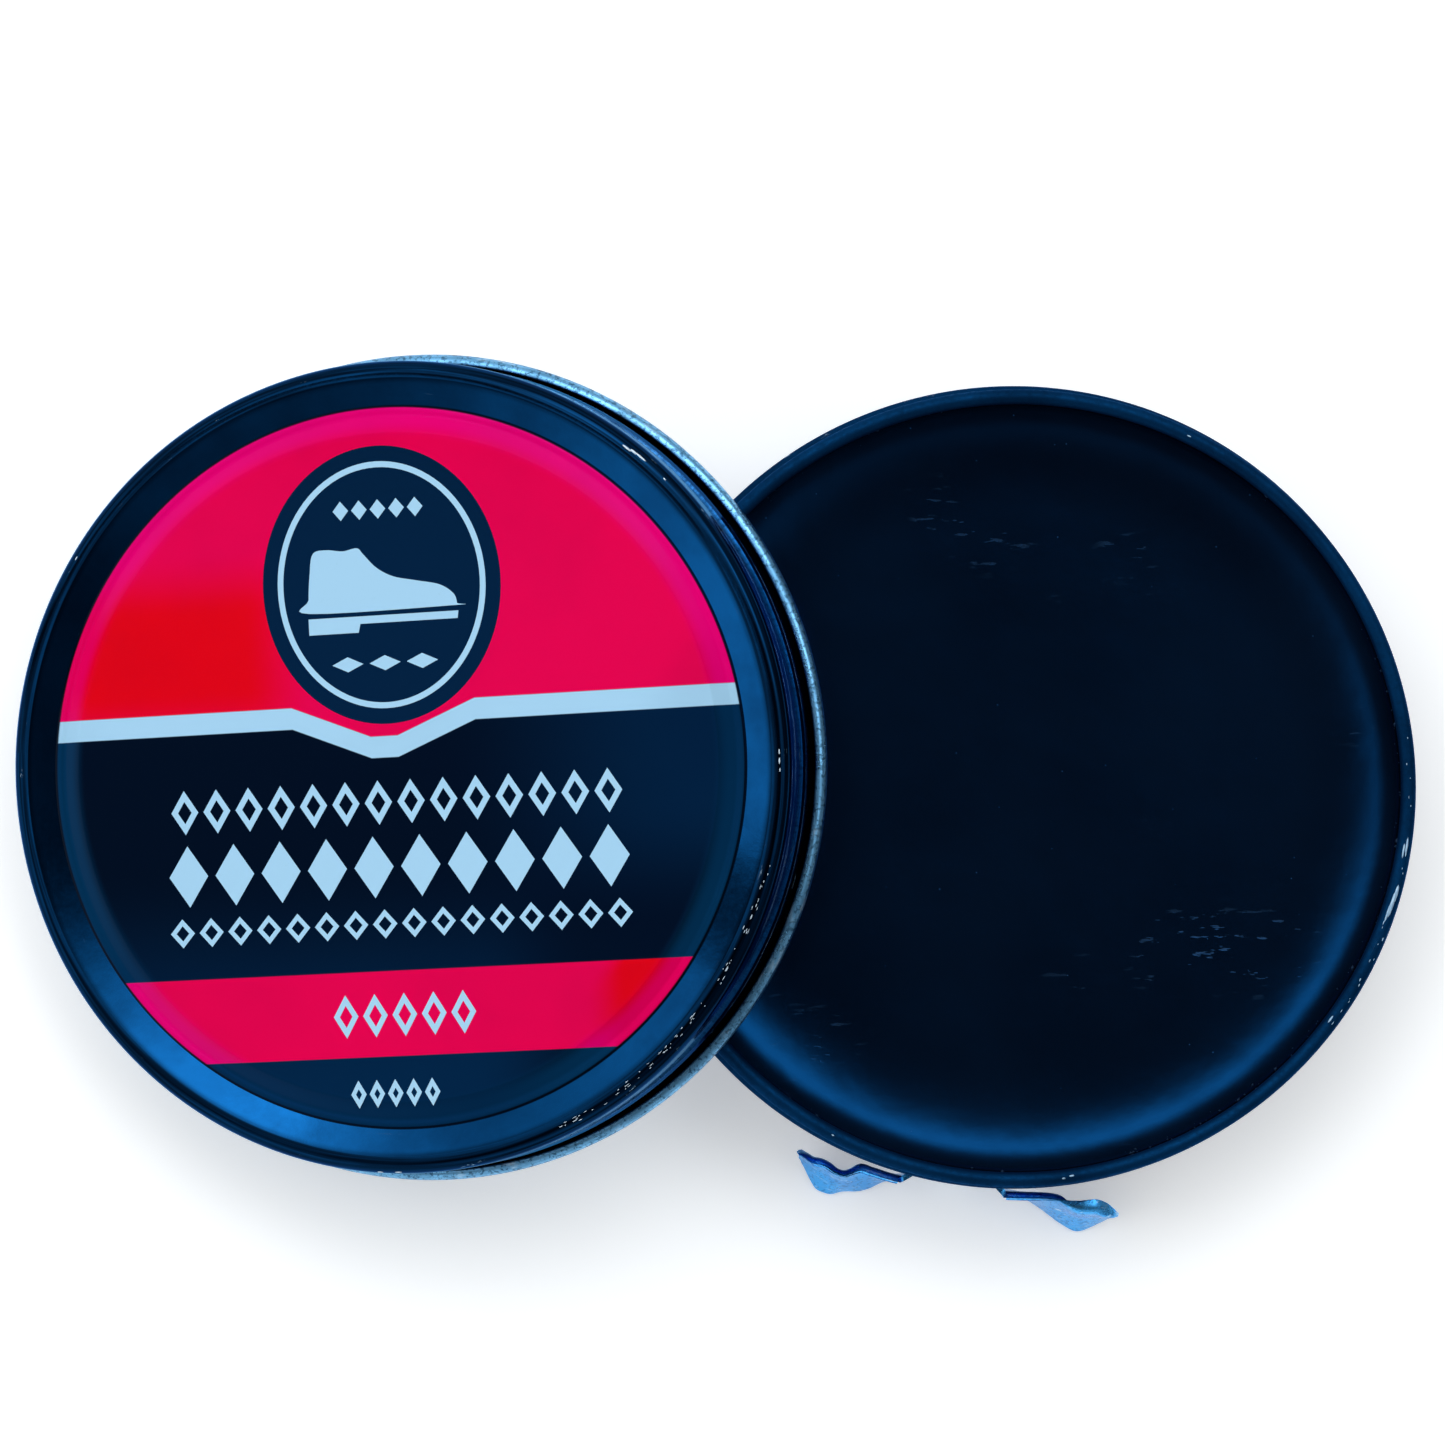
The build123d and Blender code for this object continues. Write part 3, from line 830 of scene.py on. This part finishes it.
def along(rows, x):
    """The row of values at x, on a smooth curve through the given rows."""
    xs = [row[0] for row in rows]
    place = max(i for i, value in enumerate(xs[:-1]) if value <= x or i == 0)
    first, last = max(0, place - 1), min(len(rows) - 1, place + 2)
    a, b, c, d = (np.array(rows[i]) for i in (first, place, place + 1, last))
    t = (x - b[0]) / (c[0] - b[0])
    start = (c - a) / 2
    end = (d - b) / 2
    return (b * (2 * t ** 3 - 3 * t ** 2 + 1) + c * (3 * t ** 2 - 2 * t ** 3)
            + start * (t ** 3 - 2 * t ** 2 + t) + end * (t ** 3 - t ** 2))


def key_column(x, wing):
    """Points up the key's outer face at a distance from its pivot, to one side."""
    hub_out = KEY_HUB_Y + KEY_SHEET
    if x < wing[0][0]:
        share = max(0.0, (x - KEY_CRANK_X) / (wing[0][0] - KEY_CRANK_X))
        y = hub_out + (wing[0][2] - hub_out) * share
        half = max(KEY_WAIST, sqrt(max(0.0, KEY_HUB_R ** 2 - x * x)))
        return [(y, half * (2 * i / KEY_ROWS - 1)) for i in range(KEY_ROWS + 1)]
    _, half, bottom, middle, ridge, lip = along(wing, x)
    # Place up the face, distance from the tin's axis, height above the pivot.
    rows = [(-1.0, bottom, -half), (0.0, middle, -0.1 * half), (1.0, ridge, 0.72 * half),
            (1.5, (ridge + lip) / 2 + 0.12, 0.95 * half), (2.0, lip, 0.93 * half)]
    first, last = rows[0][0], rows[-1][0]
    points = (along(rows, first + (last - first) * i / KEY_ROWS) for i in range(KEY_ROWS + 1))
    return [(y, z) for _, y, z in points]


def make_key():
    """The butterfly key: one sheet, cranked out beside its hub, its flared wings turned in at the top."""
    span_left, span_right = LEFT_WING[-1][0], RIGHT_WING[-1][0]
    deepest, free_x = 0.05, 8
    points = []
    for i in range(KEY_COLUMNS + 1):
        x = -span_right + (span_left + span_right) * i / KEY_COLUMNS
        wing = LEFT_WING if x > 0 else RIGHT_WING
        for y, z in key_column(abs(x), wing):
            dent = noise.noise(Vector((x * 0.6, y * 0.4, z * 0.6))) * deepest * min(1.0, abs(x) / free_x)
            points.append((x, y + dent, KEY_Z + z))
    row = KEY_ROWS + 1
    faces = [(i * row + j, i * row + j + 1, (i + 1) * row + j + 1, (i + 1) * row + j)
             for i in range(KEY_COLUMNS) for j in range(KEY_ROWS)]
    steel = bare_tin("key_steel", tint=(0.07, 0.42, 0.90), dark=(0.015, 0.18, 0.50), pale=(0.70, 0.88, 1.0),
                     grain=(12, 2))
    key = mesh_object("wing_key_steel", points, faces, [steel])
    sheet = key.modifiers.new("sheet", "SOLIDIFY")
    sheet.thickness = KEY_SHEET * MM
    sheet.offset = -1            # the drawn face is the outer one
    bevel = key.modifiers.new("edges", "BEVEL")
    bevel.width = KEY_EDGE * MM
    bevel.segments = 3
    bevel.limit_method = "ANGLE"
    bevel.angle_limit = radians(50)
    keep_flats(key)
    key.matrix_world = Matrix.Rotation(radians(KEY_AZIMUTH - 90), 4, "Z")
    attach(key, "key")
    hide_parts("wing_key")


NICK_CORNERS = 8
NICK_DEPTHS = (-0.04, 0.012)     # its lower and upper face, from the surface


def nick(angle, half, wide, rise, centre, radius):
    """The outline of a nick, an oval lying on a fillet that runs round the axis."""
    points = []
    for k in range(NICK_CORNERS):
        turn = TURN * k / NICK_CORNERS
        up = rise + wide * sin(turn) / radius
        r = centre[0] + radius * cos(up)
        step = half * cos(turn) / r
        points.append((r * cos(angle + step), r * sin(angle + step), centre[1] + radius * sin(up)))
    return points


def make_nicks(name, places, centre, radius, body, matrix, dull, bright):
    """Bare nicks on a raised edge; places holds each one's angle, half length, half width and rise."""
    points = []
    faces = []
    for angle, half, wide, rise in places:
        lower = len(points)
        upper = lower + NICK_CORNERS
        for depth in NICK_DEPTHS:
            points += nick(radians(angle), half, wide, radians(rise), centre, radius + depth)
        faces.append(tuple(range(upper - 1, lower - 1, -1)))
        faces.append(tuple(range(upper, upper + NICK_CORNERS)))
        for k in range(NICK_CORNERS):
            after = (k + 1) % NICK_CORNERS
            faces.append((lower + k, lower + after, upper + after, upper + k))
    chip = Finish(name, Metallic=0.3)
    chip.set("Base Color", chip.mix(chip.noise(3.0), dull, bright))
    chip.set("Roughness", chip.noise(6.0).rise(0.3, 0.7, 0.35, 0.6))
    nicks = mesh_object(name, points, faces, [chip.material])
    nicks.matrix_world = matrix
    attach(nicks, body)


def make_lid_nicks():
    """Small bare nicks along the lid's shoulder, where it has knocked against things."""
    rng = np.random.default_rng(5)
    places = [(angle, rng.uniform(0.06, 0.26), rng.uniform(0.018, 0.036), rng.uniform(62, 90))
              for angle in rng.uniform(-62, -12, 70)]
    places += [(54.6, 0.55, 0.09, 74), (53.5, 0.40, 0.11, 68), (52.3, 0.70, 0.09, 66),
               (47.5, 0.16, 0.06, 66), (4.2, 0.26, 0.06, 74), (2.9, 0.30, 0.07, 74), (1.6, 0.16, 0.06, 72),
               (-87.5, 0.35, 0.09, 30), (-90.2, 0.30, 0.10, 26), (150, 0.2, 0.05, 70)]
    centre = (LID_FACE_R - LID_SHOULDER_FILLET, LID_H - LID_SHOULDER_FILLET)
    make_nicks("shoulder_nicks", places, centre, LID_SHOULDER_FILLET, "lid", LID,
               dull=(0.50, 0.70, 0.88), bright=(0.90, 0.96, 1.0))


def make_base_nicks():
    """Bare nicks on the base's rolled rim."""
    rng = np.random.default_rng(8)
    places = [(angle, rng.uniform(0.05, 0.22), rng.uniform(0.02, 0.05), rng.uniform(60, 105))
              for angle in rng.uniform(-42, 8, 22)]
    places += [(-8.4, 0.8, 0.10, 76), (-9.2, 0.7, 0.09, 96), (-15.6, 0.9, 0.16, 80),
               (-17.2, 1.3, 0.17, 88), (-18.6, 0.9, 0.10, 100), (-36.4, 0.4, 0.09, 112),
               (-82.0, 0.25, 0.09, 96), (-83.2, 0.16, 0.08, 84), (-118, 0.15, 0.06, 84), (64, 0.2, 0.06, 90)]
    centre = (NECK_R - RIM_ROLL_R, BASE_H - RIM_ROLL_R)
    make_nicks("rim_nicks", places, centre, RIM_ROLL_R, "tin", Matrix.Identity(4),
               dull=(0.16, 0.38, 0.64), bright=(0.60, 0.80, 0.95))


def dress_cad_nodes():
    """Finishes for the CAD nodes that show as they are."""
    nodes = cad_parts
    finishes = {
        "key_rivet": bare_tin("rivet_steel", tint=(0.45, 0.62, 0.78), dark=(0.2, 0.3, 0.4)),
        "base_label": under_label_finish(),
    }
    for name, material in finishes.items():
        nodes[name].data.materials.clear()
        nodes[name].data.materials.append(material)
        nodes[name].data.shade_smooth()


# ---- studio -------------------------------------------------------------------------------------
CAMERA = (-27.3, 6.1, 600.0)
LENS = 156.9
SENSOR = 36.0
FLOOR_HALF = 1500


def make_camera():
    data = bpy.data.cameras.new("camera")
    data.lens = LENS
    data.sensor_width = SENSOR
    data.clip_start = 0.01
    data.clip_end = 20
    camera = bpy.data.objects.new("camera", data)
    camera.location = Vector(CAMERA) * MM
    bpy.context.scene.collection.objects.link(camera)
    bpy.context.scene.camera = camera


def make_floor():
    finish = Finish("studio_floor", Roughness=0.7, Specular_IOR_Level=0.2, Emission_Strength=0.34,
                    Emission_Color=(1.0, 1.0, 1.0, 1.0))
    mottle = finish.noise(0.02, 3, 0.5).rise(0.3, 0.7)
    finish.set("Base Color", finish.mix(mottle, (0.95, 0.95, 0.95), (0.93, 0.93, 0.93)))
    corners = [(x * FLOOR_HALF, y * FLOOR_HALF, 0) for x, y in ((-1, -1), (1, -1), (1, 1), (-1, 1))]
    floor = mesh_object("floor", corners, [(0, 1, 2, 3)], [finish.material])


def make_world():
    """Dark overhead, a bright ring round that, and dimmer light nearer the horizon.

    The ring is brightest in the north, the low light is brightest in the west, and a narrow dark gap in
    the west cuts both.
    """
    world = bpy.data.worlds.new("studio")
    world.use_nodes = True
    tree = world.node_tree
    direction = tree.nodes.new("ShaderNodeTexCoord")
    split = tree.nodes.new("ShaderNodeSeparateXYZ")
    tree.links.new(direction.outputs["Generated"], split.inputs[0])
    x, y, z = (Field(tree, out) for out in split.outputs)
    never_zero = 0.0001
    off_axis = (x * x + y * y + never_zero).math("SQRT")
    east = x / off_axis
    north = y / off_axis
    northward = (north * 0.85 + east * 0.05).rise(-0.65, 0.6, 0.05, 1.0)
    ring = z.rise(0.985, 0.88) * z.rise(0.60, 0.87) * northward
    gap = (north * 0.19 - east * 0.98).rise(0.9925, 0.998, 1.0, 0.06)
    low = z.rise(0.80, 0.40) * z.rise(0.22, 0.45, 0.6, 1.0) * (0.85 - east * 0.65)
    strength = (ring * 3.1 + low * 1.2) * gap + 0.018
    background = next(n for n in tree.nodes if n.type == "BACKGROUND")
    put(tree, background.inputs["Strength"], strength)
    background.inputs["Color"].default_value = (0.93, 0.97, 1.0, 1)
    bpy.context.scene.world = world


def area_light(name, place, aim, size, radiance):
    """A soft rectangular light; radiance is how bright it looks."""
    data = bpy.data.lights.new(name, "AREA")
    data.shape = "RECTANGLE"
    data.size, data.size_y = (s * MM for s in size)
    data.energy = radiance * pi * data.size * data.size_y
    light = bpy.data.objects.new(name, data)
    light.location = Vector(place) * MM
    light.rotation_mode = "QUATERNION"
    light.rotation_quaternion = (Vector(aim) - Vector(place)).to_track_quat("-Z", "Y")
    bpy.context.scene.collection.objects.link(light)


def make_studio():
    make_camera()
    make_floor()
    make_world()
    area_light("key_light", place=(-60, 470, 600), aim=(-10, 0, 0), size=(700, 300), radiance=1.3)
    bpy.context.scene.view_settings.view_transform = "Standard"


make_base()
make_wax()
make_crumbs()
make_lid()
make_label()
label_artwork()
make_key()
make_lid_nicks()
make_base_nicks()
dress_cad_nodes()
make_studio()
